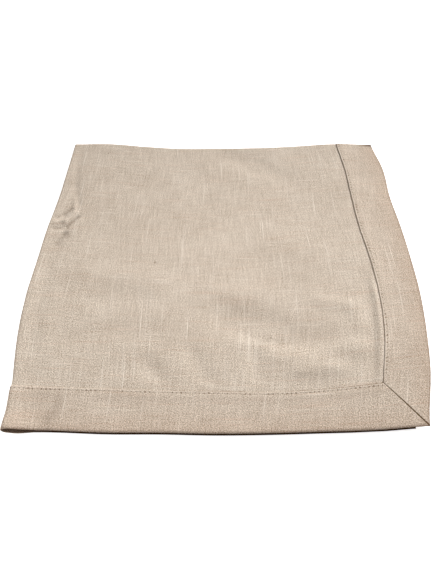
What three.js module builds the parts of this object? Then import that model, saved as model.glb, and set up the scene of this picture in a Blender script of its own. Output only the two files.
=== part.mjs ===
// A square tablecloth of slubby plain-weave cloth, folded in quarters and lying on a table.
//
// The cloth is one solid with a deep mitred hem all round. It is first folded in half at the back,
// then folded again at the left, so that four layers lie on each other. From the top they are the
// upper outer, upper inner, lower inner and lower outer layer. The turned side of the hem faces up
// on the top layer and down on the bottom one. Neither fold is quite in the middle, so the hidden
// layers end a little short of the top one.
//
// Lengths are in millimetres, +Z is up, x runs to the right and y to the back.
import * as THREE from 'three';

// The cloth
const CLOTH_SIDE = 914;
const CLOTH_THICKNESS = 1;
const HEM_WIDTH = 51;
const HEM_STEP = 0.5;
const HEM_EDGE_SLOPE = 1;
const MITRE_GROOVE_DEPTH = 0.4;

// The folds
const LAYER_GAP = 0.35;
const LEFT_FOLD_OFF_CENTRE = 7;
const BACK_FOLD_OFF_CENTRE = 3;
const LEFT_FOLD_X = 5;
const BODY_LOFT = 1;
const HEM_LOFT = 0.15;
const BACK_DROP = 0.5;
const BACK_DROP_LENGTH = 80;
const SAG_LENGTH = 14;
const ROLL_WIDTH = 8;
const DIP_WIDTH = 9;
const MOUTH_RISE = 2.4;
const MOUTH_WIDTH = 17;
const RELIEF_SOFTNESS = 0.12;

// The grid that the surface is worked out on, as distances from a fold and numbers of cells
const NEAR_LEFT_FOLD = [4, 9, 16, 25];
const NEAR_BACK_FOLD = [8];
const UPPER_BODY_CELLS = 16;
const LOWER_BODY_CELLS = 4;
const BODY_CELLS_ALONG = 17;
const BODY_GRADING = 0.35;
const SAG_CELL = 7;
const HEM_CELLS = 3;
const LEFT_FOLD_CELLS = 8;
const BACK_FOLD_CELLS = 6;
const MITRE_GROOVE_SHARE = 0.06;
const ROUNDING = 1e-6;

const QUARTER_TURN = Math.PI / 2;
const UPPER_REACH = CLOTH_SIDE / 2 + LEFT_FOLD_OFF_CENTRE;
const LOWER_REACH = CLOTH_SIDE / 2 - LEFT_FOLD_OFF_CENTRE;
const OUTER_REACH = CLOTH_SIDE / 2 + BACK_FOLD_OFF_CENTRE;
const INNER_REACH = CLOTH_SIDE / 2 - BACK_FOLD_OFF_CENTRE;
const PAIR_THICKNESS = 2 * CLOTH_THICKNESS + LAYER_GAP;
const BACK_FOLD_RADIUS = (CLOTH_THICKNESS + LAYER_GAP) / 2;
const BACK_FOLD_Y = OUTER_REACH - PAIR_THICKNESS / 2;
const HEM_FOOT = HEM_WIDTH + HEM_EDGE_SLOPE;
const FRONT_SAG_Y = OUTER_REACH - INNER_REACH + HEM_FOOT;

// The left and right edges and the inner line of the right hem, as they stray from a true square
// from the front to the back, with the rise of the soft roll at the left fold and the depth and
// place of the dip beside it
const ROW_SPACING = OUTER_REACH / 8;
const ROWS = [
  { left: -1, hemLine: 403, right: 454, roll: 0.5, dip: 0, dipX: 34 },
  { left: -4, hemLine: 414, right: 467.5, roll: 1.1, dip: 0.2, dipX: 28 },
  { left: -11, hemLine: 424.5, right: 474.5, roll: 1.3, dip: 0.7, dipX: 22 },
  { left: -13.5, hemLine: 427.5, right: 478, roll: 1.2, dip: 0.7, dipX: 21 },
  { left: -11, hemLine: 424.5, right: 477, roll: 1.1, dip: 0.8, dipX: 17 },
  { left: -8, hemLine: 418, right: 474, roll: 0.9, dip: 0.7, dipX: 18 },
  { left: -2.5, hemLine: 415, right: 469, roll: 0.6, dip: 0.7, dipX: 24 },
  { left: 0, hemLine: 412.5, right: 468.5, roll: 0.6, dip: 0.6, dipX: 17 },
  { left: 2, hemLine: 406.5, right: 459, roll: 0.6, dip: 0.2, dipX: 15 },
];

// The front and back edges and the inner line of the front hem, from the left to the right
const COLUMN_SPACING = UPPER_REACH / 8;
const COLUMNS = [
  { front: -4.5, hemLine: 48, back: 463 },
  { front: -5, hemLine: 45.5, back: 463 },
  { front: -7, hemLine: 44, back: 455.5 },
  { front: -7, hemLine: 42, back: 450 },
  { front: -8, hemLine: 41, back: 450 },
  { front: -7.3, hemLine: 40, back: 450 },
  { front: -5.5, hemLine: 43.5, back: 453 },
  { front: -3.5, hemLine: 50.5, back: 457 },
  { front: 1, hemLine: 57, back: 454 },
];

// The soft ridges (rise above zero) and troughs (below zero) of the upper layers, as seen from
// above: each runs from its first point to its second and fades over its width
const CREASES = [
  { x1: 250, y1: 292, x2: 370, y2: 248, width: 38, rise: 0.5 },
  { x1: 223, y1: 192, x2: 291, y2: 190, width: 18, rise: 0.45 },
  { x1: 215, y1: 162, x2: 290, y2: 131, width: 17, rise: -0.6 },
  { x1: 325, y1: 160, x2: 392, y2: 146, width: 15, rise: -0.5 },
  { x1: 248, y1: 112, x2: 372, y2: 104, width: 16, rise: 0.55 },
  { x1: 322, y1: 58, x2: 392, y2: 82, width: 16, rise: -0.6 },
  { x1: 193, y1: 104, x2: 232, y2: 66, width: 17, rise: -0.5 },
  { x1: 55, y1: 177, x2: 128, y2: 178, width: 20, rise: -0.4 },
  { x1: 270, y1: 428, x2: 345, y2: 396, width: 20, rise: -0.4 },
  { x1: 205, y1: 432, x2: 300, y2: 368, width: 20, rise: 0.3 },
  { x1: 412, y1: 200, x2: 404, y2: 80, width: 14, rise: -0.6 },
];

function ramp(t) {
  const s = Math.min(Math.max(t, 0), 1);
  return s * s * (3 - 2 * s);
}

function mix(a, b, t) {
  return a + (b - a) * t;
}

// A smooth curve through one named column of a table whose rows are evenly spaced
function alongTable(rows, name, spacing, place) {
  const t = Math.min(Math.max(place / spacing, 0), rows.length - 1);
  const i = Math.min(Math.floor(t), rows.length - 2);
  const f = t - i;
  const before = rows[Math.max(i - 1, 0)][name];
  const from = rows[i][name];
  const to = rows[i + 1][name];
  const after = rows[Math.min(i + 2, rows.length - 1)][name];
  const bend = (2 * before - 5 * from + 4 * to - after) * f + (3 * from - before - 3 * to + after) * f * f;
  return from + 0.5 * f * (to - before + bend);
}

// One coordinate of a true square carried to its place between two straying edges
function stray(place, reach, near, hemLine, far) {
  const body = reach - HEM_WIDTH;
  if (place <= body) {
    return mix(near, hemLine, place / body);
  }
  return mix(hemLine, far, (place - body) / HEM_WIDTH);
}

function wander(x, y) {
  const row = (name) => alongTable(ROWS, name, ROW_SPACING, y);
  const column = (name) => alongTable(COLUMNS, name, COLUMN_SPACING, x);
  const back = column('back');
  const front = column('front');
  const frontHem = column('hemLine');
  return {
    x: stray(x, UPPER_REACH, row('left'), row('hemLine'), row('right')),
    y: stray(OUTER_REACH - y, OUTER_REACH, back, frontHem, front),
  };
}

function bell(t) {
  return Math.exp(-t * t);
}

function creaseRise(crease, x, y) {
  const alongX = crease.x2 - crease.x1;
  const alongY = crease.y2 - crease.y1;
  const t = ((x - crease.x1) * alongX + (y - crease.y1) * alongY) / (alongX ** 2 + alongY ** 2);
  const s = Math.min(Math.max(t, 0), 1);
  const away = Math.hypot(x - crease.x1 - s * alongX, y - crease.y1 - s * alongY);
  return crease.rise * bell(away / crease.width);
}

// 1 where a hem that ends at the given reach lies in the stack, 0 where the layers over it have
// sagged to the cloth beside it
function hemShare(reach, x, y) {
  const front = 1 - ramp((y - FRONT_SAG_Y) / SAG_LENGTH);
  const right = ramp(1 + (x - reach + HEM_FOOT) / SAG_LENGTH);
  return 1 - (1 - front) * (1 - right);
}

// The roll along the left fold with the dip beside it, and its open mouth at the front
function foldRollRise(x, y) {
  const row = (name) => alongTable(ROWS, name, ROW_SPACING, y);
  const roll = row('roll') * bell((x - LEFT_FOLD_X) / ROLL_WIDTH);
  const dip = row('dip') * bell((x - row('dipX')) / DIP_WIDTH);
  const mouth = MOUTH_RISE * Math.max(0, 1 - y / FRONT_SAG_Y) * bell((x - LEFT_FOLD_X) / MOUTH_WIDTH);
  return roll - dip + mouth;
}

// Free room between the lower and the upper pair of layers
function loft(x, y, hems) {
  const place = wander(x, y);
  const backDrop = BACK_DROP * ramp(1 - (OUTER_REACH - y) / BACK_DROP_LENGTH);
  const creases = CREASES.reduce((sum, crease) => sum + creaseRise(crease, place.x, place.y), 0);
  const rise = mix(BODY_LOFT - backDrop + creases, HEM_LOFT, hems) + foldRollRise(x, y);
  return (rise + Math.hypot(rise, RELIEF_SOFTNESS)) / 2;
}

// Heights of the middles of the lower and the upper pair of layers
function pairHeights(x, y) {
  const lowerHem = hemShare(LOWER_REACH, x, y);
  const upperHem = hemShare(UPPER_REACH, x, y);
  const lower = PAIR_THICKNESS / 2 + HEM_STEP * lowerHem;
  const room = LAYER_GAP + HEM_STEP * (lowerHem + upperHem) + loft(x, y, (lowerHem + upperHem) / 2);
  return { lower, upper: lower + PAIR_THICKNESS + room };
}

// Carries a point of the cloth to its folded place. Each station says how far the point lies from
// the fold and how far it has turned round it; offset is its height over the middle of the cloth,
// towards the turned side of the hem.
function foldedPoint(across, along, offset) {
  const backArm = BACK_FOLD_RADIUS + offset;
  const y = BACK_FOLD_Y - along.reach + backArm * Math.cos(along.angle);
  const outward = -backArm * Math.sin(along.angle);
  const { lower, upper } = pairHeights(LEFT_FOLD_X + across.reach, y);
  const leftArm = (upper - lower) / 2 + outward;
  const x = LEFT_FOLD_X + across.reach - leftArm * Math.cos(across.angle);
  const z = (upper + lower) / 2 + leftArm * Math.sin(across.angle);
  const place = wander(x, y);
  return [place.x, place.y, z];
}

// The stations of one layer, from its fold to its hemmed edge. sagReaches are where the layers sag
// beside the hems that they lie on.
function layerStations(reach, nearFold, bodyCells, sagReaches, side) {
  const reaches = [...nearFold];
  const bodyStart = nearFold[nearFold.length - 1];
  for (let n = 1; n <= bodyCells; n += 1) {
    const t = n / bodyCells;
    reaches.push(mix(bodyStart, sagReaches[0], t * (1 + BODY_GRADING * (1 - t))));
  }
  reaches.push(...sagReaches.slice(1), reach - HEM_FOOT);
  for (let n = 0; n <= HEM_CELLS; n += 1) {
    reaches.push(reach - HEM_WIDTH * (1 - n / HEM_CELLS));
  }
  const apart = reaches.filter((r, n) => n === 0 || r - reaches[n - 1] > ROUNDING);
  return apart.map((r) => ({ reach: r, angle: side * QUARTER_TURN, edge: reach - r }));
}

function sagReaches(from, to) {
  const cells = Math.round((to - from) / SAG_CELL);
  return Array.from({ length: cells + 1 }, (_, n) => mix(from, to, n / cells));
}

// All the stations across one fold, from one hemmed edge of the cloth to the other
function stationsAcross(first, second, foldCells) {
  const turns = [];
  for (let i = 0; i <= foldCells; i += 1) {
    turns.push({ reach: 0, angle: mix(-QUARTER_TURN, QUARTER_TURN, i / foldCells), edge: CLOTH_SIDE / 2 });
  }
  return [...first.toReversed(), ...turns, ...second];
}

function stationAt(stations, place) {
  const i = Math.min(Math.floor(place), stations.length - 2);
  const f = place - i;
  const a = stations[i];
  const b = stations[i + 1];
  return { reach: mix(a.reach, b.reach, f), angle: mix(a.angle, b.angle, f), edge: mix(a.edge, b.edge, f) };
}

// Height of the turned side over the middle of the cloth. It steps up onto the hem, and dips along
// the mitre seam, which is the diagonal of each corner.
function turnedOffset(across, along) {
  const edge = Math.min(across.edge, along.edge);
  const onHem = edge < HEM_WIDTH + HEM_EDGE_SLOPE / 2;
  const onDiagonal = Math.abs(across.edge - along.edge) < ROUNDING;
  const inSeam = onDiagonal && edge > ROUNDING && edge < HEM_WIDTH - ROUNDING;
  return CLOTH_THICKNESS / 2 + (onHem ? HEM_STEP : 0) - (inSeam ? MITRE_GROOVE_DEPTH : 0);
}

function plainOffset() {
  return -CLOTH_THICKNESS / 2;
}

// The cloth's closed surface, worked out on the grid of its stations
class ClothSurface {
  constructor(across, along) {
    this.across = across;
    this.along = along;
    this.lastI = across.length - 1;
    this.lastJ = along.length - 1;
    this.positions = [];
    this.gridPlaces = [];
    this.index = [];
    this.lips = new Map();
  }

  addPoint(i, j, offsetOf) {
    const a = stationAt(this.across, i);
    const b = stationAt(this.along, j);
    this.positions.push(...foldedPoint(a, b, offsetOf(a, b)));
    this.gridPlaces.push([i, j]);
    return this.gridPlaces.length - 1;
  }

  addPoints(offsetOf) {
    return this.across.map((_, i) => this.along.map((__, j) => this.addPoint(i, j, offsetOf)));
  }

  // A triangle that faces out of the turned side, or out of the plain side
  addTriangle(a, b, c, turned) {
    const [ai, aj] = this.gridPlaces[a];
    const [bi, bj] = this.gridPlaces[b];
    const [ci, cj] = this.gridPlaces[c];
    const area = (bi - ai) * (cj - aj) - (bj - aj) * (ci - ai);
    if (Math.abs(area) > ROUNDING) {
      this.index.push(...((area > 0) === turned ? [a, b, c] : [a, c, b]));
    }
  }

  // The seam of one corner has two more points beside each of its grid points, as its lips. They
  // meet at both ends of the seam.
  addLips(points, cornerI, stepI, cornerJ, stepJ) {
    for (let k = 1; k < HEM_CELLS; k += 1) {
      const i = cornerI + stepI * k;
      const j = cornerJ + stepJ * k;
      const lip = (side) => this.addPoint(i + stepI * side, j - stepJ * side, turnedOffset);
      this.lips.set(points[i][j], { 1: lip(MITRE_GROOVE_SHARE), [-1]: lip(-MITRE_GROOVE_SHARE) });
    }
  }

  lipOf(point, side) {
    return this.lips.has(point) ? this.lips.get(point)[side] : point;
  }

  // Layers that lie on each other have their cells split along the same line, to stay apart
  addCells(points, turned) {
    for (let i = 0; i < this.lastI; i += 1) {
      for (let j = 0; j < this.lastJ; j += 1) {
        const fromRimI = Math.min(i, this.lastI - 1 - i);
        const fromRimJ = Math.min(j, this.lastJ - 1 - j);
        if (turned && fromRimI === fromRimJ && fromRimI < HEM_CELLS) {
          this.addMitreCell(points, i, j);
        } else {
          const side = Math.sign(fromRimI - fromRimJ);
          const grid = [points[i][j], points[i + 1][j], points[i + 1][j + 1], points[i][j + 1]];
          if (this.along[j].angle > 0) {
            grid.push(grid.shift());
          }
          const [a, b, c, d] = grid.map((point) => this.lipOf(point, side));
          this.addTriangle(a, b, c, turned);
          this.addTriangle(a, c, d, turned);
        }
      }
    }
  }

  // A cell that the seam crosses, from the point nearer to the cloth's corner to the farther one
  addMitreCell(points, i, j) {
    const [nearI, farI] = i < HEM_CELLS ? [i, i + 1] : [i + 1, i];
    const [nearJ, farJ] = j < HEM_CELLS ? [j, j + 1] : [j + 1, j];
    const near = points[nearI][nearJ];
    const far = points[farI][farJ];
    for (const side of [-1, 1]) {
      const beside = side > 0 ? points[farI][nearJ] : points[nearI][farJ];
      const nearLip = this.lipOf(near, side);
      const farLip = this.lipOf(far, side);
      this.addTriangle(nearLip, beside, farLip, true);
      this.addTriangle(near, nearLip, farLip, true);
      this.addTriangle(near, farLip, far, true);
    }
  }

  // The cut edge all round, between the two sides
  addRim(turnedPoints, plainPoints) {
    const round = [];
    for (let i = 0; i < this.lastI; i += 1) {
      round.push([i, 0]);
    }
    for (let j = 0; j < this.lastJ; j += 1) {
      round.push([this.lastI, j]);
    }
    for (let i = this.lastI; i > 0; i -= 1) {
      round.push([i, this.lastJ]);
    }
    for (let j = this.lastJ; j > 0; j -= 1) {
      round.push([0, j]);
    }
    round.forEach(([i, j], n) => {
      const [nextI, nextJ] = round[(n + 1) % round.length];
      this.index.push(turnedPoints[nextI][nextJ], turnedPoints[i][j], plainPoints[i][j]);
      this.index.push(turnedPoints[nextI][nextJ], plainPoints[i][j], plainPoints[nextI][nextJ]);
    });
  }
}

function stationGrid() {
  const upperReach = UPPER_REACH - LEFT_FOLD_X;
  const lowerReach = LOWER_REACH - LEFT_FOLD_X;
  const innerReach = BACK_FOLD_Y - OUTER_REACH + INNER_REACH;
  const lowerSag = sagReaches(lowerReach - HEM_FOOT - SAG_LENGTH, lowerReach - HEM_FOOT);
  const upperSag = sagReaches(lowerReach - HEM_FOOT - SAG_LENGTH, upperReach - HEM_FOOT);
  const frontSag = sagReaches(innerReach - HEM_FOOT - SAG_LENGTH, innerReach - HEM_FOOT);
  const lower = layerStations(lowerReach, NEAR_LEFT_FOLD, LOWER_BODY_CELLS, lowerSag, -1);
  const upper = layerStations(upperReach, NEAR_LEFT_FOLD, UPPER_BODY_CELLS, upperSag, 1);
  const outer = layerStations(BACK_FOLD_Y, NEAR_BACK_FOLD, BODY_CELLS_ALONG, frontSag, -1);
  const inner = layerStations(innerReach, NEAR_BACK_FOLD, BODY_CELLS_ALONG, frontSag, 1);
  return {
    across: stationsAcross(lower, upper, LEFT_FOLD_CELLS),
    along: stationsAcross(outer, inner, BACK_FOLD_CELLS),
  };
}

function foldedClothGeometry() {
  const { across, along } = stationGrid();
  const surface = new ClothSurface(across, along);
  const turnedPoints = surface.addPoints(turnedOffset);
  const plainPoints = surface.addPoints(plainOffset);
  for (const [cornerI, stepI] of [[0, 1], [surface.lastI, -1]]) {
    for (const [cornerJ, stepJ] of [[0, 1], [surface.lastJ, -1]]) {
      surface.addLips(turnedPoints, cornerI, stepI, cornerJ, stepJ);
    }
  }
  surface.addCells(turnedPoints, true);
  surface.addCells(plainPoints, false);
  surface.addRim(turnedPoints, plainPoints);
  const geometry = new THREE.BufferGeometry();
  geometry.setAttribute('position', new THREE.Float32BufferAttribute(surface.positions, 3));
  geometry.setIndex(surface.index);
  return geometry;
}

// Puts the middle of the footprint over the origin
function centreFootprint(geometry) {
  geometry.computeBoundingBox();
  const middle = geometry.boundingBox.getCenter(new THREE.Vector3());
  geometry.translate(-middle.x, -middle.y, 0);
  geometry.computeVertexNormals();
}

const linen = new THREE.MeshStandardMaterial({ color: '#ccbdac', roughness: 0.95, metalness: 0 });
const geometry = foldedClothGeometry();
centreFootprint(geometry);

const tablecloth = new THREE.Mesh(geometry, linen);
tablecloth.name = 'tablecloth';

const part = new THREE.Group();
part.add(tablecloth);

export default part;
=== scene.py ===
"""A square tablecloth of beige slubby linen-look cloth, folded in quarters and lying on a pale floor.

The cloth is one thin sheet that lies on the folds of its solid: folded in half at the back, and then
over at the left, with a deep mitred hem whose turned side faces up on the top layer. Its shape is
worked out in millimetres, x to the right and y to the back from the front left corner.
"""
import math

import bpy
import numpy as np
from mathutils import Matrix, Vector


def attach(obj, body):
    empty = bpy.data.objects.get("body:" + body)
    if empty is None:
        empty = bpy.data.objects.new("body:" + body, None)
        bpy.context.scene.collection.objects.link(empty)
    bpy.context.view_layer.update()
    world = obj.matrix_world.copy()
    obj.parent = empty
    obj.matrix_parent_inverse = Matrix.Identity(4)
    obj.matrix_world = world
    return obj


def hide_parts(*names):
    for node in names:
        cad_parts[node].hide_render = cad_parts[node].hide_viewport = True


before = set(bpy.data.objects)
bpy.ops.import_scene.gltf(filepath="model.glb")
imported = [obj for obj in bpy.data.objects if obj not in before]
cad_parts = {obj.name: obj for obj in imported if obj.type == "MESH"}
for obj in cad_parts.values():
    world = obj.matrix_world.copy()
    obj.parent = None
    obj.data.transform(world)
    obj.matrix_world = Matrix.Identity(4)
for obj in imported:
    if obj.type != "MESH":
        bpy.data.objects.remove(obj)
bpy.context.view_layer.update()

MM = 0.001

# The cloth: its side when flat, its thickness, the width of its hem, and how far a hem lifts the layers
CLOTH_SIDE = 914.0
CLOTH = 0.45
HEM_WIDTH = 51.0
HEM_RIDGE = 0.95

# The stitches of the hem. Each strays a little along the row and across it, and in its length
STITCH_PITCH = 5.0
STITCH_LENGTH = 3.3
STITCH_LENGTH_SHARES = (0.85, 1.1)
STITCH_FROM_FOLD = 3.0
STITCH_HEIGHT = 1.06
STITCH_SIDES = 6
STITCH_STRAY_ALONG = 0.15
STITCH_STRAY_ACROSS = 0.12
STITCH_SEED = 40
THREAD_RADIUS = 0.21

# Colours: the yarn from dark to light, a thick light thread that is also the painted highlight on the
# rim of the hem's fold, tints that are laid over them, the painted shade between the layers and on the
# turn of the outer edge, the painted shade of a crease or seam that is also the dark of a needle hole or
# speck, and the floor
CLOTH_DARK = "#a69380"
CLOTH_LIGHT = "#ecdfcf"
SLUB_AND_HIGHLIGHT_COLOUR = "#fbf2e6"
ROSY_TINT = "#f6dfd2"
HEM_TINT = "#fffdfc"
HEM_EDGE_TINT = "#faf4f0"
PAINTED_SHADE_TINT = "#7b6753"
SHADE_AND_HOLE_DARK = "#5a3c12"
FLOOR_COLOUR = "#fbfbfb"

# The threads that show in the tone of the cloth: the width of each, the length over which its tone
# changes, and a seed. Real threads are about 0.6 mm apart. These are drawn wider so that they show
WEFT_STREAKS = (1.2, 24, 0.5)
WARP_STREAKS = (1.1, 30, 90.5)
WEFT_SLUBS = (1.05, 80, 700.5)
WARP_SLUBS = (1.0, 120, 20.5)
ROSY_THREADS = (1.4, 70, 300.5)

# How far apart the threads start along their noise, and how strong the weft is beside the warp
THREAD_STARTS = 500.0
WEFT_SHARE = 0.7

# The weave and the soft clouds of tone: the sizes of their grains in mm. The grains of the weave are
# longer than its real threads are wide, so that they show
WEAVE_GRAIN = (1.4, 0.6)
CLOUD_GRAIN = (70, 60)

# How much the weave, the streaks and the clouds count in the tone, and its darkest and lightest values
WEAVE_SHARE = 3.1
STREAK_SHARE = 0.36
CLOUD_SHARE = 0.2
TONE_RANGE = (1.5, 2.45)

# The values of the noise that give light thick threads and rosy ones, and how much of each colour shows
SLUB_RANGE = (0.78, 1.0)
SLUB_SHARE = 0.44
ROSY_RANGE = (0.55, 1.0)
ROSY_SHARE = 0.3

# Needle holes: the sizes of the noise that opens and closes them, and their widths
HOLE_GRAIN = (6, 30)
HOLE_RANGE = (0.35, 0.7)
HOLE_WIDTHS = (0.6, 1.4)
HOLE_SHARE = 0.75

# Bands along the hem, as distances from the outer edge: the painted shade line at its inner fold, the
# painted highlight on the rim beside it, the paler outer part and the painted shade on the turn of the edge
LINE_SHADE_BAND = (50.4, 51.2)
RIM_HIGHLIGHT_BAND = (48.9, 49.9)
BAND_FADE = 0.5
RIM_HIGHLIGHT_SHARE = 0.14
HEM_EDGE_WIDTH = 26
HEM_EDGE_SHARE = 0.8
EDGE_TURN_SHADE = (3.5, 0.5)
EDGE_TURN_SHADE_SHARE = 0.4
# The tone range of the painted shade in the mitre seams, and how much of the dark colour shows in all dark
# marks
SEAM_SHADE_RANGE = (0.2, 0.65)
DARK_SHARE = 0.88

# The surface: how far its threads stand up in mm, how strong that shows, how deep a needle hole is
# beside a thread, and how rough and fuzzy the cloth and the sewing thread are
THREAD_HEIGHT = 0.2
THREAD_BUMP = 0.3
HOLE_BUMP = -1.5
CLOTH_ROUGHNESS = 0.92
CLOTH_SPECULAR = 0.1
CLOTH_SHEEN = 0.03
CLOTH_SHEEN_ROUGHNESS = 0.5
TWIST_GRAIN = 0.5
THREAD_ROUGHNESS = 0.8

# The floor, its size in metres and how far it lies under the cloth
FLOOR_SIZE = 8
FLOOR_DEPTH = 0.05
FLOOR_GLOW = 0.8

# The light, in metres: name, place, size across and power
SURROUND_STRENGTH = 0.14
LIGHTS = [
    ("light_from_behind", (3.4, 4.7, 2.0), 1.5, 528),
    ("light_from_above", (0.04, -0.06, 0.42), 0.3, 0.6),
    ("light_from_the_right", (0.75, 0.1, 0.45), 0.3, 1.15),
    ("light_from_the_left", (-0.8, -0.2, 0.45), 0.3, 2.2),
]

# The camera, in pixels and in mm from the front left corner of the true square. The angles are its turn
# to the side, its tilt down and its roll
IMAGE_HEIGHT = 578
SENSOR_HEIGHT = 36
CAMERA_FOCAL_PX = 570.1
CAMERA_PLACE = (244.64, -242.45, 576.59)
CAMERA_ANGLES = (-2.34, 53.39, -2.10)
FOOTPRINT_MIDDLE = (233.03, 227.74)

# The solid that the sheet lies on: the thickness of its cloth, how much a hem adds, the gap between its
# layers, and how far below its top the sheet would lie without any loft
SOLID_CLOTH = 1.0
SOLID_STEP = 0.5
SOLID_GAP = 0.35
SHEET_BELOW_SOLID = 1.0

# The folds: the gaps in them, how far off the middle of the cloth they are and how round they are
LAYER_GAP = 0.3
LEFT_FOLD_OFF_CENTRE = 7.0
BACK_FOLD_OFF_CENTRE = 3.0
LEFT_FOLD_X = 5.0
BACK_ARC = 1.2
BACK_SWELL = 0.9
BACK_SWELL_LENGTH = 9.0

# How far the top lifts off the layers under it, on the body, on the hems and towards the back, and how
# wide the shapes by the left fold are
BODY_LOFT = 1.7
HEM_LOFT = 0.15
BACK_DROP = 0.5
BACK_DROP_LENGTH = 80.0
SAG_LENGTH = 14.0
HEM_FOOT = HEM_WIDTH + 1.0
ROLL_WIDTH = 8.0
DIP_WIDTH = 9.0
MOUTH_RISE = 3.8
MOUTH_WIDTH = 24.0
RELIEF_SOFTNESS = 0.12

# Fine unevenness of the body and of the hem's inner fold: height or reach, how many waves, their
# shortest and longest length, and a seed
FINE_WAVES = 0.1
FINE_WAVES_ON_HEMS = 0.5
FINE_WAVE_COUNT = 40
FINE_WAVE_LENGTHS = (22, 90)
FINE_WAVE_SEED = 3
HEM_WAVE = 0.25
HEM_WAVE_COUNT = 12
HEM_WAVE_LENGTHS = (9, 60)
HEM_WAVE_SEED = 5
HEM_WAVE_SPACING = 300.0
HEM_WAVE_DEPTH = 14
HEM_WAVE_FADE = 8
HEM_WAVE_CORNER = 12

UPPER_REACH = CLOTH_SIDE / 2 + LEFT_FOLD_OFF_CENTRE
LOWER_REACH = CLOTH_SIDE / 2 - LEFT_FOLD_OFF_CENTRE
OUTER_REACH = CLOTH_SIDE / 2 + BACK_FOLD_OFF_CENTRE
INNER_REACH = CLOTH_SIDE / 2 - BACK_FOLD_OFF_CENTRE
BACK_FOLD_Y = OUTER_REACH - BACK_ARC
FRONT_SAG_Y = OUTER_REACH - INNER_REACH + HEM_FOOT

# The left and right edges and the inner line of the right hem, as they stray from a true square
# from the front to the back, with the soft roll at the left fold and the dip beside it
ROW_SPACING = OUTER_REACH / 8
ROWS = [
    {"left": -1, "hem_line": 403, "right": 454, "roll": 0.25, "dip": 0, "dip_x": 34},
    {"left": -4, "hem_line": 414, "right": 467.5, "roll": 0.55, "dip": 0.14, "dip_x": 28},
    {"left": -11, "hem_line": 424.5, "right": 474.5, "roll": 0.65, "dip": 0.49, "dip_x": 22},
    {"left": -13.5, "hem_line": 427.5, "right": 478, "roll": 0.6, "dip": 0.49, "dip_x": 21},
    {"left": -11, "hem_line": 424.5, "right": 477, "roll": 0.55, "dip": 0.56, "dip_x": 17},
    {"left": -8, "hem_line": 418, "right": 474, "roll": 0.45, "dip": 0.49, "dip_x": 18},
    {"left": -2.5, "hem_line": 415, "right": 469, "roll": 0.3, "dip": 0.49, "dip_x": 24},
    {"left": 0, "hem_line": 412.5, "right": 468.5, "roll": 0.3, "dip": 0.42, "dip_x": 17},
    {"left": 2, "hem_line": 406.5, "right": 459, "roll": 0.3, "dip": 0.14, "dip_x": 15},
]

# The front and back edges and the inner line of the front hem, from the left to the right
COLUMN_SPACING = UPPER_REACH / 8
COLUMNS = [
    {"front": -4.5, "hem_line": 48, "back": 463},
    {"front": -5, "hem_line": 45.5, "back": 463},
    {"front": -7, "hem_line": 44, "back": 455.5},
    {"front": -7, "hem_line": 42, "back": 450},
    {"front": -8, "hem_line": 41, "back": 450},
    {"front": -7.3, "hem_line": 40, "back": 450},
    {"front": -5.5, "hem_line": 43.5, "back": 453},
    {"front": -3.5, "hem_line": 50.5, "back": 457},
    {"front": 1, "hem_line": 57, "back": 454},
]

# The soft ridges (rise above zero) and troughs (below zero) of the upper layers, as seen from above:
# x1, y1, x2, y2, width, rise
CREASES = [
    (238, 138, 290, 117, 20, -2.04),
    (290, 117, 350, 103, 20, -1.56),
    (222, 178, 292, 168, 17, 1.08),
    (350, 164, 390, 155, 9, 0.96),
    (390, 155, 400, 130, 9, 0.6),
    (298, 84, 350, 81, 13, 1.2),
    (360, 94, 396, 98, 11, 1.32),
    (320, 66, 366, 70, 9, 1.32),
    (272, 94, 274, 60, 8, -1.2),
    (252, 101, 286, 98, 9, 0.72),
    (198, 92, 216, 57, 10, -1.08),
    (145, 80, 164, 54, 9, -0.96),
    (55, 208, 150, 193, 16, 0.84),
    (80, 168, 130, 166, 14, -0.6),
    (48, 112, 150, 122, 14, -0.72),
    (108, 70, 160, 68, 10, -0.6),
    (24, 165, 22, 108, 9, 0.36),
    (235, 434, 284, 406, 17, -1.2),
    (284, 406, 328, 378, 17, -1.2),
    (212, 442, 211, 406, 6, 0.48),
    (300, 255, 385, 235, 26, 0.84),
    (416, 200, 406, 70, 8, -0.6),
    (65, 28, 53, 3, 6, 0.72),
    (3, 18, 30, 18, 9, -0.96),
    (105, 17, 160, 19, 9, -0.84),
    (195, 14, 258, 14, 9, -0.84),
    (372, 18, 402, 20, 9, -0.84),
    (4, 296, 17, 299, 4, 1.08),
    (17, 299, 29, 315, 4.5, 1.32),
    (4, 306, 13, 311, 3.5, -0.6),
    (13, 311, 22, 321, 3.5, -1.08),
    (4, 285, 19, 286, 3.5, -0.72),
    (19, 286, 33, 305, 3.5, -1.08),
    (24, 279, 38, 298, 4.5, 1.08),
    (21, 275, 13, 257, 6, -0.96),
    (15, 440, 18, 400, 5, -0.24),
    (18, 400, 19, 371, 5, -0.3),
    (19, 371, 31, 333, 4.5, -0.48),
    (31, 333, 32, 316, 4, -0.48),
    (24, 343, 26, 322, 3, 0.48),
]

# Painted shade in the crevices of the pressed creases: x1, y1, x2, y2, width and depth of tone
CREVICE_SHADES = [
    (6, 306, 13, 312, 2.6, 0.22),
    (13, 312, 22, 321, 2.6, 0.32),
    (4, 285, 19, 286, 2.8, 0.2),
    (19, 286, 27, 297, 2.8, 0.4),
    (27, 297, 34, 306, 2.4, 0.34),
    (22, 275, 13, 258, 4.5, 0.16),
    (57, 28, 54, 16, 4.5, 0.2),
    (54, 16, 48, 5, 4.5, 0.26),
]

# Dark specks in the yarn: how far across and along the cloth, the radii inside which one is darkest
# and outside which it is gone, and how dark it is
SPECKS = [(59, -22), (150, -227), (287, -338)]
SPECK_RADII = (0.6, 1.7)
SPECK_SHARE = 0.6

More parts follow.
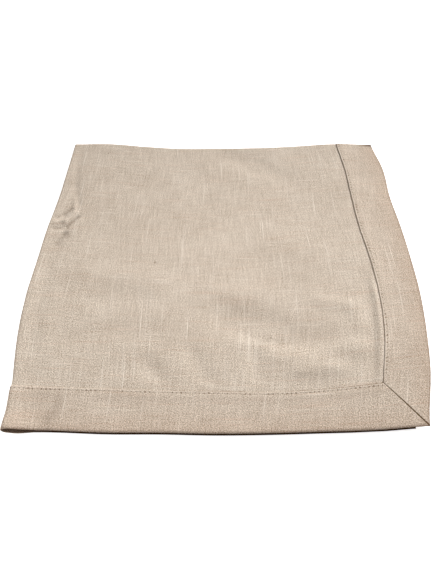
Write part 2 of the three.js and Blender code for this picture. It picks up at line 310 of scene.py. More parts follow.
# The sharp step up beside the right hem, where the body has sagged against the hems under it: how far
# it goes up and down, the places of its crest and foot from the cloth's edge, and where it runs
STEP_RISE = 1.8
STEP_CREST = 56.0
STEP_FOOT = 65.0
STEP_WIDTH = 4.2
STEP_FROM = 62
STEP_TO = 215
STEP_FADE = 45

# The section of the hem from the turned side of the body, round the hem, to the plain side of the
# body: distance from the outer edge, height over the middle of the cloth, and which side of the fold
# at the outer edge the cloth is on
HEM_SECTION = [
    (HEM_WIDTH + 0.9, 0.225, "plain"),
    (HEM_WIDTH + 0.1, 0.225, "plain"),
    (HEM_WIDTH - 2.4, 0.25, "plain"),
    (HEM_WIDTH - 1.0, 0.36, "turned"),
    (HEM_WIDTH - 0.1, 0.62, "turned"),
    (HEM_WIDTH - 0.1, 0.9, "turned"),
    (HEM_WIDTH - 0.8, 1.15, "turned"),
    (HEM_WIDTH - 2.0, 1.17, "turned"),
    (HEM_WIDTH - 3.0, 1.02, "turned"),
    (HEM_WIDTH - 4.2, 1.12, "turned"),
    (HEM_WIDTH - 7.0, 1.15, "turned"),
    (HEM_WIDTH - 10.0, 0.98, "turned"),
    (HEM_WIDTH - 13.0, 0.78, "turned"),
    (HEM_WIDTH - 18.0, 0.72, "turned"),
    (HEM_WIDTH - 24.0, 0.74, "turned"),
    (HEM_WIDTH - 31.0, 0.74, "turned"),
    (HEM_WIDTH - 38.0, 0.74, "turned"),
    (HEM_WIDTH - 44.0, 0.74, "turned"),
    (3.5, 0.74, "turned"),
    (1.2, 0.66, "turned"),
    (0.35, 0.48, "turned"),
    (0.0, 0.22, "turned"),
    (0.35, -0.06, "plain"),
    (1.2, -0.2, "plain"),
    (4.0, -0.225, "plain"),
    (14.0, -0.225, "plain"),
    (26.0, -0.225, "plain"),
    (38.0, -0.225, "plain"),
    (HEM_WIDTH - 4.0, -0.225, "plain"),
]

# The rings of one stitch: place along it, width and how far it has sunk into the cloth
STITCH_RINGS = [
    (-1, 0.3, 0.35),
    (-0.8, 0.8, 0.14),
    (-0.4, 1, 0),
    (0.4, 1, 0),
    (0.8, 0.8, 0.14),
    (1, 0.3, 0.35),
]

# How dark the painted shade at the foot of the hem's fold is: at the sides, and at the front from the left to
# the right
SIDE_LINE_SHADE = 0.4
FRONT_LINE_SHADE = [
    (0, 0.1),
    (100, 0.25),
    (165, 0.4),
    (200, 0.6),
    (260, 0.6),
    (285, 0.3),
    (320, 0.6),
    (411, 0.8),
]

# How far the shade between the layers reaches in from the open edges, and where it starts past the
# left fold and the back fold
GAP_DEPTH = 14.0
GAP_PAST_LEFT = 2
GAP_LEFT_FADE = 5
GAP_PAST_BACK = 8
GAP_BACK_FADE = 6

# The lip at the front left corner, where the lower layers bulge out and catch the light: how far, where
# and how wide, and how far along the front and how much the painted shade between the layers is lifted from
# it
LIP_LENGTH = 34.0
LIP_SHADE_LIFT = 0.95
LIP_REACH = 1.6
LIP_X = 18.0
LIP_WIDTH = 13.0
LIP_DEPTH = 14.0

# How wide the painted shade line of a mitre seam is on each side
SEAM_WIDTH_INSIDE = 0.7
SEAM_WIDTH_OUTSIDE = 2.1

# The grid of the sheet round its edge and its mitre seams
BODY_EDGE = HEM_WIDTH + 2.0
SEAM_COLUMNS = (0.25, 0.7, 1.3, 2.4, 4.2)
SEAM_CLEARANCE = 6
SEAM_ROUNDING = 1.3
SEAM_FLOOR = 0.3
CORNER_STRETCH_LENGTH = 26.0


def ramp(t):
    s = np.clip(t, 0, 1)
    return s * s * (3 - 2 * s)


def mix(a, b, t):
    return a + (b - a) * t


def bell(t):
    return np.exp(-t * t)


def along_table(rows, name, spacing, place):
    """A smooth curve through one named column of a table whose rows are evenly spaced."""
    values = np.array([row[name] for row in rows], dtype=float)
    last = len(values) - 1
    t = np.clip(place / spacing, 0, last)
    i = np.minimum(np.floor(t).astype(int), last - 1)
    f = t - i
    before, start = values[np.maximum(i - 1, 0)], values[i]
    end, after = values[i + 1], values[np.minimum(i + 2, last)]
    bend = (2 * before - 5 * start + 4 * end - after) * f
    bend += (3 * start - before - 3 * end + after) * f * f
    return start + 0.5 * f * (end - before + bend)


def stray(place, reach, near, hem_line, far):
    """One coordinate of a true square carried to its place between two straying edges."""
    body = reach - HEM_WIDTH
    on_hem = mix(hem_line, far, (place - body) / HEM_WIDTH)
    return np.where(place <= body, mix(near, hem_line, place / body), on_hem)


def row_value(name, y):
    return along_table(ROWS, name, ROW_SPACING, y)


def column_value(name, x):
    return along_table(COLUMNS, name, COLUMN_SPACING, x)


def wander(x, y):
    """Carries a place on the true square to where the straying edges and hem lines put it."""
    left, right_hem, right = row_value("left", y), row_value("hem_line", y), row_value("right", y)
    back, front_hem, front = column_value("back", x), column_value("hem_line", x), column_value("front", x)
    across = stray(x, UPPER_REACH, left, right_hem, right)
    return across, stray(OUTER_REACH - y, OUTER_REACH, back, front_hem, front)


def crease_rise(x, y, x1, y1, x2, y2, width, rise):
    along_x, along_y = x2 - x1, y2 - y1
    t = ((x - x1) * along_x + (y - y1) * along_y) / (along_x**2 + along_y**2)
    s = np.clip(t, 0, 1)
    away = np.hypot(x - x1 - s * along_x, y - y1 - s * along_y)
    return rise * bell(away / width)


def hem_share(reach, x, y):
    """1 where a hem that ends at the given reach lies in the stack, 0 beside it."""
    front = 1 - ramp((y - FRONT_SAG_Y) / SAG_LENGTH)
    right = ramp(1 + (x - reach + HEM_FOOT) / SAG_LENGTH)
    return 1 - (1 - front) * (1 - right)


def fold_roll_rise(x, y):
    """The roll along the left fold with the dip beside it, and its open mouth at the front."""
    roll = row_value("roll", y) * bell((x - LEFT_FOLD_X) / ROLL_WIDTH)
    dip = row_value("dip", y) * bell((x - row_value("dip_x", y)) / DIP_WIDTH)
    mouth = MOUTH_RISE * np.maximum(0, 1 - y / FRONT_SAG_Y) * bell((x - LEFT_FOLD_X) / MOUTH_WIDTH)
    return roll - dip + mouth


def hem_step_rise(x, y):
    from_edge = UPPER_REACH - x
    share = ramp((y - STEP_FROM) / STEP_FADE + 0.5) * ramp((STEP_TO - y) / STEP_FADE)
    crest, foot = bell((from_edge - STEP_CREST) / STEP_WIDTH), bell((from_edge - STEP_FOOT) / STEP_WIDTH)
    return STEP_RISE * share * (crest - foot)


def waves(x, y, seed, count, shortest, longest):
    """Even unevenness: a sum of sine waves of random direction, about -1 to 1 in all."""
    rng = np.random.default_rng(seed)
    total = np.zeros_like(x)
    for _ in range(count):
        length = shortest * (longest / shortest) ** rng.random()
        turn, phase = rng.random(2) * 2 * math.pi
        total += np.sin((x * math.cos(turn) + y * math.sin(turn)) * 2 * math.pi / length + phase)
    return total / math.sqrt(2 * count)


def top_height(x, y):
    """Height of the top of the upper pair of layers, without the hem on it."""
    lower_hem, upper_hem = hem_share(LOWER_REACH, x, y), hem_share(UPPER_REACH, x, y)
    place = wander(x, y)
    back_drop = BACK_DROP * ramp(1 - (OUTER_REACH - y) / BACK_DROP_LENGTH)
    creases = sum(crease_rise(*place, *crease) for crease in CREASES)
    hems = (lower_hem + upper_hem) / 2
    rise = mix(BODY_LOFT - back_drop, HEM_LOFT, hems) + creases
    rise = rise + fold_roll_rise(x, y) + hem_step_rise(x, y)
    loft = (rise + np.hypot(rise, RELIEF_SOFTNESS)) / 2
    layers = 4 * SOLID_CLOTH + 3 * SOLID_GAP + SOLID_STEP * (2 * lower_hem + upper_hem)
    fine = FINE_WAVES * waves(*place, FINE_WAVE_SEED, FINE_WAVE_COUNT, *FINE_WAVE_LENGTHS)
    fine = fine * (1 - FINE_WAVES_ON_HEMS * hems)
    return layers + loft + fine - SHEET_BELOW_SOLID


def folded(across, along, offset):
    """Carries points of the cloth to their folded places. across and along are distances from the two
    folds, negative on the lower and on the outer layers, and offset is the height over the middle of
    the cloth, towards the turned side of the hem."""
    across, along, offset = np.broadcast_arrays(across, along, offset)
    across_reach = np.maximum(np.abs(across) - LEFT_FOLD_X, 0)
    across_angle = np.clip(across / LEFT_FOLD_X, -1, 1) * math.pi / 2
    along_reach = np.maximum(np.abs(along) - BACK_ARC, 0)
    along_angle = np.clip(along / BACK_ARC, -1, 1) * math.pi / 2
    flat_x = LEFT_FOLD_X + across_reach
    swell = BACK_SWELL * bell(along_reach / BACK_SWELL_LENGTH)
    swell *= 1 - hem_share(LOWER_REACH, flat_x, np.full_like(flat_x, OUTER_REACH))
    pair_half = CLOTH + (LAYER_GAP + swell) / 2
    back_arm = pair_half - CLOTH / 2 + offset
    y = BACK_FOLD_Y - along_reach + back_arm * np.cos(along_angle)
    outward = -back_arm * np.sin(along_angle)
    lower = pair_half + HEM_RIDGE * hem_share(LOWER_REACH, flat_x, y)
    upper = top_height(flat_x, y) - pair_half
    left_arm = (upper - lower) / 2 + outward
    x = flat_x - left_arm * np.cos(across_angle)
    z = (upper + lower) / 2 + left_arm * np.sin(across_angle)
    place_x, place_y = wander(x, y)
    lower_share = (1 - np.sin(across_angle)) / 2
    lip = LIP_REACH * lower_share * bell((x - LIP_X) / LIP_WIDTH) * bell(np.maximum(y, 0) / LIP_DEPTH)
    return np.stack([place_x, place_y - lip, z], axis=-1)


def lines(*runs):
    """Places of grid lines: each run is (start, end, spacing)."""
    places = []
    for start, end, spacing in runs:
        count = max(1, round((end - start) / spacing))
        places.extend(np.linspace(start, end, count, endpoint=False))
    places.append(runs[-1][1])
    return np.array(places)


def with_seam_lines(places):
    """Adds lines close to both ends, for the mitre seams."""
    low, high = places[0], places[-1]
    inner = places[(places > low + SEAM_CLEARANCE) & (places < high - SEAM_CLEARANCE)]
    near_low = [low, *(low + c for c in SEAM_COLUMNS)]
    near_high = [high - c for c in reversed(SEAM_COLUMNS)] + [high]
    return np.array([*near_low, *inner, *near_high])


def spread_to_corners(places, distance):
    """Places along a side of the ring that lies the given distance outside the body's edge. Those
    near the corners are spread out to reach them."""
    at_high = ramp(1 - (places[-1] - places) / CORNER_STRETCH_LENGTH)
    at_low = ramp(1 - (places - places[0]) / CORNER_STRETCH_LENGTH)
    return places + distance * (at_high - at_low)


ACROSS_LINES = with_seam_lines(lines(
    (-LOWER_REACH + BODY_EDGE, -25, 11), (-25, -5, 3), (-5, 5, 1), (5, 46, 1.6),
    (46, 400, 5), (400, UPPER_REACH - BODY_EDGE, 1.8),
))
ALONG_LINES = with_seam_lines(lines(
    (-OUTER_REACH + BODY_EDGE, -225, 3.6), (-225, -105, 1.7), (-105, -24, 3.6), (-24, -BACK_ARC, 2),
    (-BACK_ARC, BACK_ARC, 0.4),
    (BACK_ARC, 24, 2.5), (24, INNER_REACH - BODY_EDGE, 11),
))

# The four sides of the cloth: the sign and reach of the coordinate that is fixed at its edge, whether
# that is the one across, and the grid lines along the side
SIDES = [
    {"sign": 1, "reach": UPPER_REACH, "fixed_across": True, "places": ALONG_LINES},
    {"sign": -1, "reach": LOWER_REACH, "fixed_across": True, "places": ALONG_LINES},
    {"sign": -1, "reach": OUTER_REACH, "fixed_across": False, "places": ACROSS_LINES},
    {"sign": 1, "reach": INNER_REACH, "fixed_across": False, "places": ACROSS_LINES},
]


def pair(a, b):
    return np.stack(np.broadcast_arrays(a, b), axis=-1)


def on_side(side, run, fixed):
    """Puts the place along a side and the fixed coordinate in the order across, along."""
    return (fixed, run) if side["fixed_across"] else (run, fixed)


def crevice_shade(across, along):
    """How much painted shade lies in the crevices of the pressed creases, on the top layer only."""
    x, y = wander(np.abs(across), BACK_FOLD_Y - np.abs(along))
    tone = np.max([crease_rise(x, y, *crevice) for crevice in CREVICE_SHADES], axis=0)
    return tone * (across > 0) * (along < 0)


def gap_tone(across, along):
    """Shade: 1 at the open edges of the layers under the top one, 0 in the open, and some in the
    crevices of the pressed creases."""
    from_front = OUTER_REACH - np.abs(along)
    from_right = np.where(across > 0, UPPER_REACH - across, LOWER_REACH + across)
    past_left = ramp((GAP_PAST_LEFT - across) / GAP_LEFT_FADE)
    past_back = ramp((along + GAP_PAST_BACK) / GAP_BACK_FADE)
    under = np.maximum(past_left, past_back)
    # The painted shade between the layers is lifted on the lip at the front left
    lip = LIP_SHADE_LIFT * bell(across / LIP_LENGTH) * (across < 0)
    shaded = under * bell(np.minimum(from_front, from_right) / GAP_DEPTH) * (1 - lip)
    return np.maximum(shaded, crevice_shade(across, along))


class ClothMesh:
    """The closed sheet, gathered from grids of folded points."""

    def __init__(self):
        self.points, self.faces, self.cloth_uv, self.hem_uv = [], [], [], []
        # Painted shade: between the layers and in the crevices, on the mitre seams and at the foot of the
        # hem's fold
        self.tones = {"gap": [], "seam": [], "hem_line": []}
        self.count = 0

    def add_points(self, across, along, offset, seam=0.0, hem_line=0.0):
        """Adds folded points and returns their numbers as an array of the same shape. seam and
        hem_line are how much painted shade lies on the mitre seam and on the foot of the hem's fold there."""
        places = folded(across, along, offset)
        shape = places.shape[:-1]
        numbers = self.count + np.arange(places[..., 0].size).reshape(shape)
        self.points.append(places.reshape(-1, 3))
        tones = {"gap": gap_tone(across, along), "seam": seam, "hem_line": hem_line}
        for name, tone in tones.items():
            self.tones[name].append(np.broadcast_to(tone, shape).ravel())
        self.count += numbers.size
        return numbers

    def add_faces(self, numbers, cloth_uv, hem_uv, flipped):
        """Adds the faces of a grid of point numbers, with both UV maps of its points."""
        for grid, kept in ((numbers, self.faces), (cloth_uv, self.cloth_uv), (hem_uv, self.hem_uv)):
            corners = [grid[:-1, :-1], grid[1:, :-1], grid[1:, 1:], grid[:-1, 1:]]
            if flipped:
                corners.reverse()
            kept.append(np.stack(corners, axis=2).reshape(-1, 4, *grid.shape[2:]))


def add_body(cloth):
    """Both sides of the cloth inside its hem."""
    across, along = ACROSS_LINES[:, None], ALONG_LINES[None, :]
    cloth_uv = pair(across, along)
    hem_uv = pair(0.0 * across, np.full_like(cloth_uv[..., 0], BODY_EDGE))
    numbers = {}
    for face, height in (("turned", CLOTH / 2), ("plain", -CLOTH / 2)):
        numbers[face] = cloth.add_points(across, along, height)
        cloth.add_faces(numbers[face], cloth_uv, hem_uv, flipped=face == "plain")
    return numbers


def hem_grid(number, side):
    """Places, heights and tones of the ring of points round one side."""
    distance = np.array([[e] for e, *_ in HEM_SECTION])
    height = np.array([[h] for _, h, _ in HEM_SECTION])
    run = np.stack([spread_to_corners(side["places"], BODY_EDGE - e) for e in distance[:, 0]])
    from_corner = np.minimum(run - run[:, :1], run[:, -1:] - run)
    at_fold = ramp((distance - HEM_WIDTH + HEM_WAVE_DEPTH) / HEM_WAVE_FADE)
    at_fold = at_fold * ramp(from_corner / HEM_WAVE_CORNER)
    own_place = HEM_WAVE_SPACING * number + 0 * run
    wave = waves(run, own_place, HEM_WAVE_SEED, HEM_WAVE_COUNT, *HEM_WAVE_LENGTHS)
    distance = distance + HEM_WAVE * at_fold * wave
    rounding = np.minimum(from_corner / SEAM_ROUNDING, 1)
    lift = np.maximum(height - SEAM_FLOOR, 0) * np.sqrt(1 - (1 - rounding) ** 2)
    seam_width = mix(SEAM_WIDTH_OUTSIDE, SEAM_WIDTH_INSIDE, distance / HEM_WIDTH)
    side_line, front_line = np.full_like(run, SIDE_LINE_SHADE), np.interp(run, *zip(*FRONT_LINE_SHADE))
    return {
        "run": run,
        "distance": distance,
        "offset": np.minimum(height, SEAM_FLOOR) + lift,
        # Painted shade on the mitre seam and at the foot of the hem's fold
        "seam": np.clip(1 - from_corner / seam_width, 0, 1),
        "hem_line": side_line if side["fixed_across"] else front_line,
    }


def body_edge(numbers, side):
    """The point numbers along one side of the body."""
    end = -1 if side["sign"] > 0 else 0
    return numbers[end, :] if side["fixed_across"] else numbers[:, end]


def add_ring_points(cloth, grid, columns):
    values = ("across", "along", "offset", "seam", "hem_line")
    return cloth.add_points(*(grid[name][:, columns] for name in values))


def add_hem(cloth, body):
    """The hem as a ring of four sides, which meet at the mitre seams."""
    corners = {}
    for number, side in enumerate(SIDES):
        grid = hem_grid(number, side)
        fixed = side["sign"] * (side["reach"] - grid["distance"])
        grid["across"], grid["along"] = on_side(side, grid["run"], fixed)
        ends = []
        for column in (0, -1):
            corner = (grid["across"][0, column] > 0, grid["along"][0, column] > 0)
            if corner not in corners:
                corners[corner] = add_ring_points(cloth, grid, [column])
            ends.append(corners[corner])
        rings = np.concatenate([ends[0], add_ring_points(cloth, grid, slice(1, -1)), ends[1]], axis=1)
        body_rows = [body_edge(body[face], side)[None, :] for face in ("turned", "plain")]
        rings = np.concatenate([body_rows[0], rings, body_rows[1]])
        add_hem_faces(cloth, side, rings, grid["run"], grid["distance"])


def add_hem_faces(cloth, side, ring, run, distance):
    """The faces of one side of the hem. The cloth of the turned side runs on past the outer edge."""
    places = side["places"][None, :]
    run = np.concatenate([places, run, places])
    edge = np.full_like(places, BODY_EDGE)
    distance = np.concatenate([edge, distance, edge])
    turned = np.array([False, *(face == "turned" for *_, face in HEM_SECTION), False])[:, None]
    fixed = side["sign"] * (side["reach"] + np.where(turned, distance, -distance))
    past_edge = np.arange(len(turned))[:, None] > np.flatnonzero(turned)[-1]
    cloth_uv = pair(*on_side(side, run, fixed))
    hem_uv = pair(run, np.where(past_edge, -distance, distance))
    flipped = (side["sign"] > 0) != side["fixed_across"]
    cloth.add_faces(ring, cloth_uv, hem_uv, flipped)


def fill_mesh(mesh, points, faces):
    """Fills a mesh with points in mm, moved to the middle of the footprint, and its faces."""
    mesh.vertices.add(len(points))
    mesh.vertices.foreach_set("co", ((points - (*FOOTPRINT_MIDDLE, 0)) * MM).ravel())
    mesh.loops.add(faces.size)
    mesh.loops.foreach_set("vertex_index", faces.ravel())
    mesh.polygons.add(len(faces))
    mesh.polygons.foreach_set("loop_start", np.arange(len(faces)) * 4)
    mesh.update(calc_edges=True)
    mesh.shade_smooth()


def add_uv_map(mesh, name, corners):
    layer = mesh.uv_layers.new(name=name)
    layer.uv.foreach_set("vector", (corners * MM).ravel())


def new_object(name, mesh):
    made = bpy.data.objects.new(name, mesh)
    bpy.context.collection.objects.link(made)
    return made


def make_cloth():
    cloth = ClothMesh()
    add_hem(cloth, add_body(cloth))
    mesh = bpy.data.meshes.new("folded_cloth")
    fill_mesh(mesh, np.concatenate(cloth.points), np.concatenate(cloth.faces))
    add_uv_map(mesh, "cloth", np.concatenate(cloth.cloth_uv))
    add_uv_map(mesh, "hem_run", np.concatenate(cloth.hem_uv))
    for name, values in cloth.tones.items():
        tone = mesh.attributes.new(name, "FLOAT", "POINT")
        tone.data.foreach_set("value", np.concatenate(values))
    return new_object("folded_cloth", mesh)


def stitch_row(number, side):
    """Folded points of the stitches along one side: stitch, ring along it, point round the thread."""
    reach_to_corner = BODY_EDGE - HEM_WIDTH + STITCH_FROM_FOLD
    low, high = side["places"][0] - reach_to_corner, side["places"][-1] + reach_to_corner
    middles = np.arange(math.ceil(low / STITCH_PITCH), high / STITCH_PITCH) * STITCH_PITCH
    rng = np.random.default_rng(STITCH_SEED + number)
    middles = middles + rng.normal(0, STITCH_STRAY_ALONG, len(middles))
    shift = rng.normal(0, STITCH_STRAY_ACROSS, len(middles))
    half = STITCH_LENGTH / 2 * rng.uniform(*STITCH_LENGTH_SHARES, len(middles))
    along, width, sink = (np.array(column)[None, :, None] for column in zip(*STITCH_RINGS))
    turn = (np.arange(STITCH_SIDES) * 2 * math.pi / STITCH_SIDES)[None, None, :]
    run = middles[:, None, None] + along * half[:, None, None] + 0 * turn
    distance = HEM_WIDTH - STITCH_FROM_FOLD + shift[:, None, None] + THREAD_RADIUS * width * np.cos(turn)
    offset = STITCH_HEIGHT - sink + THREAD_RADIUS * width * np.sin(turn) + 0 * run
    fixed = side["sign"] * (side["reach"] - distance) + 0 * run
    return folded(*on_side(side, run, fixed), offset), pair(*on_side(side, run, fixed))


def make_topstitch():
    """The stitches that hold the hem, as one mesh of short thread pieces."""
    rows = [stitch_row(number, side) for number, side in enumerate(SIDES)]
    points = np.concatenate([row[0] for row in rows])
    places = np.concatenate([row[1] for row in rows])
    stitches, rings, sides = points.shape[:3]
    numbers = np.arange(stitches * rings * sides).reshape(stitches, rings, sides)
    beside = np.roll(numbers, -1, axis=2)
    corners = [numbers[:, :-1], beside[:, :-1], beside[:, 1:], numbers[:, 1:]]
    tubes = np.stack(corners, axis=3).reshape(-1, 4)
    caps = [numbers[:, end][:, ring] for end, ring in ((0, [3, 2, 1, 0]), (0, [5, 4, 3, 0]))]
    caps += [numbers[:, end][:, ring] for end, ring in ((-1, [0, 1, 2, 3]), (-1, [0, 3, 4, 5]))]
    faces = np.concatenate([tubes, *caps])
    mesh = bpy.data.meshes.new("topstitch")
    fill_mesh(mesh, points.reshape(-1, 3), faces)
    add_uv_map(mesh, "cloth", places.reshape(-1, 2)[faces])
    return new_object("topstitch", mesh)


def srgb_to_linear(colour):
    """A colour given as #rrggbb in linear values, with full alpha."""
    parts = [int(colour[i:i + 2], 16) / 255 for i in (1, 3, 5)]
    linear = [c / 12.92 if c <= 0.04045 else ((c + 0.055) / 1.055) ** 2.4 for c in parts]
    return (*linear, 1.0)


class Shader:
    """One material, with short ways to add its nodes and link their sockets."""

    def __init__(self, name):
        self.material = bpy.data.materials.new(name)
        self.material.use_nodes = True
        self.tree = self.material.node_tree
        self.principled = self.tree.nodes["Principled BSDF"]

    def put(self, socket, value):
        if isinstance(value, bpy.types.NodeSocket):
            self.tree.links.new(value, socket)
        else:
            socket.default_value = value

    def add(self, kind, inputs, output=0, **settings):
        """Adds a node, sets or links its inputs, and returns one of its outputs."""
        node = self.tree.nodes.new(kind)
        for name, value in settings.items():
            setattr(node, name, value)
        for name, value in inputs.items():
            self.put(node.inputs[name], value)
        return node.outputs[output]

    def math(self, operation, *values):
        return self.add("ShaderNodeMath", dict(enumerate(values)), operation=operation)

    def uv(self, name):
        return self.add("ShaderNodeUVMap", {}, uv_map=name)

    def noise(self, place, grain_u, grain_v, seed, detail=1.0):
        """Noise, mostly 0.3 to 0.7, with grains of the given sizes in mm along and across the cloth."""
        scale = (1 / (grain_u * MM), 1 / (grain_v * MM), 1)
        mapped = self.add("ShaderNodeMapping", {"Vector": place, "Location": (seed, seed, 0), "Scale": scale})
        inputs = {"Vector": mapped, "Scale": 1.0, "Detail": detail}
        return self.add("ShaderNodeTexNoise", inputs, noise_dimensions="2D")

    def span(self, value, low, high, to_low=0.0, to_high=1.0):
        """Carries a value from low..high to to_low..to_high, and keeps it inside."""
        limits = {"From Min": low, "From Max": high, "To Min": to_low, "To Max": to_high}
        return self.add("ShaderNodeMapRange", {"Value": value, **limits})

    def tone(self, name):
        return self.add("ShaderNodeAttribute", {}, output=2, attribute_name=name)

    def blend(self, share, a, b, mode="MIX"):
        return self.add("ShaderNodeMix", {0: share, 6: a, 7: b}, output=2, data_type="RGBA", blend_type=mode)

    def total(self, *values):
        result = values[0]
        for value in values[1:]:
            result = self.math("ADD", result, value)
        return result


def fine_weave(shader, place):
    """Uneven threads both ways, about 0.5 and mostly 0.2 to 0.8."""
    length, width = WEAVE_GRAIN
    weft = shader.noise(place, length, width, 1.0, 0.0)
    warp = shader.noise(place, width, length, 2.0, 0.0)
    return shader.math("MULTIPLY", shader.total(weft, warp), 0.5)


def along_threads(shader, along, across, pitch, length, seed):
    """Noise that runs along each thread and starts afresh from one thread to the next, in mm."""
    number = shader.math("FLOOR", shader.math("DIVIDE", across, pitch * MM))
    number = shader.total(number, seed)
    own = shader.add("ShaderNodeTexWhiteNoise", {"W": number}, noise_dimensions="1D")
    start = shader.math("MULTIPLY", own, THREAD_STARTS)
    run = shader.total(shader.math("DIVIDE", along, length * MM), start)
    inputs = {"W": run, "Scale": 1.0, "Detail": 0.0}
    return shader.add("ShaderNodeTexNoise", inputs, noise_dimensions="1D")


def thread_tone(shader, place, across, along):
    """The tone of the yarn: the weave, streaks along its threads and soft clouds."""
    weft = along_threads(shader, across, along, *WEFT_STREAKS)
    warp = along_threads(shader, along, across, *WARP_STREAKS)
    streaks = shader.total(shader.math("MULTIPLY", weft, WEFT_SHARE), warp)
    clouds = shader.noise(place, *CLOUD_GRAIN, 5.0, 1.0)
    return shader.total(
        shader.math("MULTIPLY", fine_weave(shader, place), WEAVE_SHARE),
        shader.math("MULTIPLY", streaks, STREAK_SHARE),
        shader.math("MULTIPLY", clouds, CLOUD_SHARE),
    )


def slub_threads(shader, across, along):
    """Shares of light thick threads that run both ways, 1 on the thread."""
    weft = shader.span(along_threads(shader, across, along, *WEFT_SLUBS), *SLUB_RANGE)
    warp = shader.span(along_threads(shader, along, across, *WARP_SLUBS), *SLUB_RANGE)
    return shader.math("MAXIMUM", shader.math("MULTIPLY", weft, WEFT_SHARE), warp)


def distance_from(shader, along, across):
    """The length of a step of the two given lengths."""
    square = shader.total(shader.math("POWER", along, 2.0), shader.math("POWER", across, 2.0))
    return shader.math("SQRT", square)


def needle_holes(shader, run, from_edge):
    """Dark pinpricks between the stitches of the hem. Some are wide and some are closed."""
    step = shader.math("FRACT", shader.math("DIVIDE", run, STITCH_PITCH * MM))
    along = shader.math("MULTIPLY", shader.math("SUBTRACT", step, 0.5), STITCH_PITCH * MM)
    across = shader.math("SUBTRACT", from_edge, (HEM_WIDTH - STITCH_FROM_FOLD) * MM)
    opening = shader.noise(shader.uv("hem_run"), *HOLE_GRAIN, 3.0, 0.0)
    width = shader.span(opening, *HOLE_RANGE, *(w * MM for w in HOLE_WIDTHS))
    share = shader.math("DIVIDE", distance_from(shader, along, across), width)
    return shader.span(share, 0.5, 1.0, 1.0, 0.0)


def yarn_specks(shader, across, along):
    """How dark the few dark specks in the yarn are."""
    inner, outer = (radius * MM for radius in SPECK_RADII)
    tone = 0.0
    for speck_across, speck_along in SPECKS:
        beside = shader.math("SUBTRACT", across, speck_across * MM)
        ahead = shader.math("SUBTRACT", along, speck_along * MM)
        speck = shader.span(distance_from(shader, beside, ahead), inner, outer, SPECK_SHARE, 0.0)
        tone = shader.math("MAXIMUM", speck, tone)
    return tone


def between(shader, value, low, high):
    """1 where a length lies from low to high, both in mm, and 0 further off than the fade."""
    rise = shader.span(value, (low - BAND_FADE) * MM, low * MM)
    fall = shader.span(value, high * MM, (high + BAND_FADE) * MM, 1.0, 0.0)
    return shader.math("MULTIPLY", rise, fall)


def dark_marks(shader, holes, specks, from_edge):
    """How much of the dark colour shows: painted shade in the hem's line and the seams, and the dark of the
    holes and specks.
    """
    # Painted shade along the foot of the hem's fold and in the mitre seams
    line = shader.math("MULTIPLY", shader.tone("hem_line"), between(shader, from_edge, *LINE_SHADE_BAND))
    seam = shader.span(shader.tone("seam"), *SEAM_SHADE_RANGE)
    lines = shader.math("MAXIMUM", line, seam)
    points = shader.math("MAXIMUM", shader.math("MULTIPLY", holes, HOLE_SHARE), specks)
    return shader.math("MULTIPLY", shader.math("MAXIMUM", lines, points), DARK_SHARE)


def light_marks(shader, slubs, from_edge):
    """How much of the light thread colour shows: in the slubs, and as a painted highlight on the rim of the
    hem's fold.
    """
    # Painted highlight on the rim of the hem's fold
    rim = shader.math("MULTIPLY", between(shader, from_edge, *RIM_HIGHLIGHT_BAND), RIM_HIGHLIGHT_SHARE)
    return shader.math("MAXIMUM", shader.math("MULTIPLY", slubs, SLUB_SHARE), rim)


def tinted(shader, colour, across, along, from_edge):
    """The colour under its tints: rosy threads, the paler hem, and the shade at edges and in gaps."""
    rosy = shader.span(along_threads(shader, across, along, *ROSY_THREADS), *ROSY_RANGE, 0.0, ROSY_SHARE)
    hem = shader.span(from_edge, HEM_WIDTH * MM, (HEM_WIDTH - 1) * MM)
    hem_edge = shader.span(from_edge, HEM_EDGE_WIDTH * MM, 0.0, 0.0, HEM_EDGE_SHARE)
    # Painted shade on the turn of the outer edge
    turn = shader.span(from_edge, *(place * MM for place in EDGE_TURN_SHADE), 0.0, EDGE_TURN_SHADE_SHARE)
    tints = (
        (rosy, ROSY_TINT), (hem, HEM_TINT), (hem_edge, HEM_EDGE_TINT),
        (turn, PAINTED_SHADE_TINT), (shader.tone("gap"), PAINTED_SHADE_TINT),
    )
    for share, tint in tints:
        colour = shader.blend(share, colour, srgb_to_linear(tint), "MULTIPLY")
    return colour


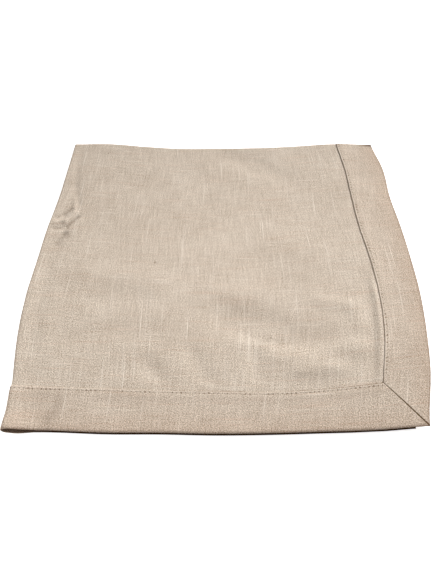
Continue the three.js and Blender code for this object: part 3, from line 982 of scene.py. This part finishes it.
def linen_cloth_material():
    """Beige linen-look cloth in plain weave, from uneven slubby yarn. It is matt, with a faint fuzz,
    a grainy mixed tone, and thick light threads that run both ways."""
    shader = Shader("beige_slubby_linen_cloth")
    place = shader.uv("cloth")
    across, along = shader.add("ShaderNodeSeparateXYZ", {0: place}).node.outputs[:2]
    hem_place = shader.add("ShaderNodeSeparateXYZ", {0: shader.uv("hem_run")}).node
    run, from_edge = hem_place.outputs[:2]
    threads = thread_tone(shader, place, across, along)
    slubs = slub_threads(shader, across, along)
    holes = needle_holes(shader, run, from_edge)
    dark = dark_marks(shader, holes, yarn_specks(shader, across, along), from_edge)
    tone = shader.span(threads, *TONE_RANGE)
    colour = shader.blend(tone, srgb_to_linear(CLOTH_DARK), srgb_to_linear(CLOTH_LIGHT))
    # Light slubs, and a painted highlight on the rim of the hem's fold
    colour = shader.blend(light_marks(shader, slubs, from_edge), colour, srgb_to_linear(SLUB_AND_HIGHLIGHT_COLOUR))
    colour = tinted(shader, colour, across, along, from_edge)
    # Painted shade in the hem's line and the seams, and dark needle holes and specks
    colour = shader.blend(dark, colour, srgb_to_linear(SHADE_AND_HOLE_DARK))
    height = shader.total(threads, slubs, shader.math("MULTIPLY", holes, HOLE_BUMP))
    relief = {"Height": height, "Strength": THREAD_BUMP, "Distance": THREAD_HEIGHT * MM}
    bump = shader.add("ShaderNodeBump", relief)
    shader.put(shader.principled.inputs["Base Color"], colour)
    shader.put(shader.principled.inputs["Normal"], bump)
    shader.principled.inputs["Roughness"].default_value = CLOTH_ROUGHNESS
    shader.principled.inputs["Specular IOR Level"].default_value = CLOTH_SPECULAR
    shader.principled.inputs["Sheen Weight"].default_value = CLOTH_SHEEN
    shader.principled.inputs["Sheen Roughness"].default_value = CLOTH_SHEEN_ROUGHNESS
    return shader.material


def thread_material():
    """Spun sewing thread in the colour of the cloth: matt, with a twist too fine to see one by one."""
    shader = Shader("beige_sewing_thread")
    twist = shader.noise(shader.uv("cloth"), TWIST_GRAIN, TWIST_GRAIN, 6.0)
    colour = shader.blend(twist, srgb_to_linear(CLOTH_DARK), srgb_to_linear(CLOTH_LIGHT))
    shader.put(shader.principled.inputs["Base Color"], colour)
    shader.principled.inputs["Roughness"].default_value = THREAD_ROUGHNESS
    return shader.material


def floor_material():
    """Matt white board that glows a little, so that the cloth throws hardly any shadow on it."""
    shader = Shader("white_floor")
    shader.principled.inputs["Base Color"].default_value = srgb_to_linear(FLOOR_COLOUR)
    shader.principled.inputs["Roughness"].default_value = 1.0
    shader.principled.inputs["Specular IOR Level"].default_value = 0.0
    shader.principled.inputs["Emission Color"].default_value = (1, 1, 1, 1)
    shader.principled.inputs["Emission Strength"].default_value = FLOOR_GLOW
    return shader.material


def make_floor():
    bpy.ops.object.select_all(action="DESELECT")
    bpy.ops.mesh.primitive_plane_add(size=FLOOR_SIZE, location=(0, 0, -FLOOR_DEPTH * MM))
    floor = bpy.context.object
    floor.name = "floor"
    floor.data.materials.append(floor_material())


def make_lights():
    """White surroundings, a large low light behind on the right, and weak ones above and beside."""
    world = bpy.context.scene.world or bpy.data.worlds.new("studio")
    bpy.context.scene.world = world
    world.use_nodes = True
    background = world.node_tree.nodes["Background"]
    background.inputs["Color"].default_value = (1, 1, 1, 1)
    background.inputs["Strength"].default_value = SURROUND_STRENGTH
    for name, place, size, power in LIGHTS:
        lamp = bpy.data.lights.new(name, "AREA")
        lamp.shape = "DISK"
        lamp.size = size
        lamp.energy = power
        light = new_object(name, lamp)
        light.location = place
        light.rotation_euler = (-Vector(place)).to_track_quat("-Z", "Y").to_euler()
        light.visible_camera = False


def make_camera():
    camera_data = bpy.data.cameras.new("camera")
    camera_data.sensor_fit = "VERTICAL"
    camera_data.sensor_height = SENSOR_HEIGHT
    camera_data.lens = CAMERA_FOCAL_PX / IMAGE_HEIGHT * SENSOR_HEIGHT
    camera_data.clip_start = 0.01
    camera = new_object("camera", camera_data)
    yaw, pitch, roll = (math.radians(angle) for angle in CAMERA_ANGLES)
    ahead = Vector((math.sin(yaw) * math.cos(pitch), math.cos(yaw) * math.cos(pitch), -math.sin(pitch)))
    level = Vector((math.cos(yaw), -math.sin(yaw), 0))
    upright = level.cross(ahead)
    right = level * math.cos(roll) + upright * math.sin(roll)
    up = upright * math.cos(roll) - level * math.sin(roll)
    place = (Vector(CAMERA_PLACE) - Vector((*FOOTPRINT_MIDDLE, 0))) * MM
    turn = Matrix((right, up, -ahead)).transposed().to_4x4()
    camera.matrix_world = Matrix.Translation(place) @ turn
    bpy.context.scene.camera = camera


make_floor()
make_lights()
make_camera()
bpy.context.scene.view_settings.view_transform = "Standard"

cloth = make_cloth()
cloth.data.materials.append(linen_cloth_material())
topstitch = make_topstitch()
topstitch.data.materials.append(thread_material())
for piece in (cloth, topstitch):
    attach(piece, "root")
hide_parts("tablecloth")
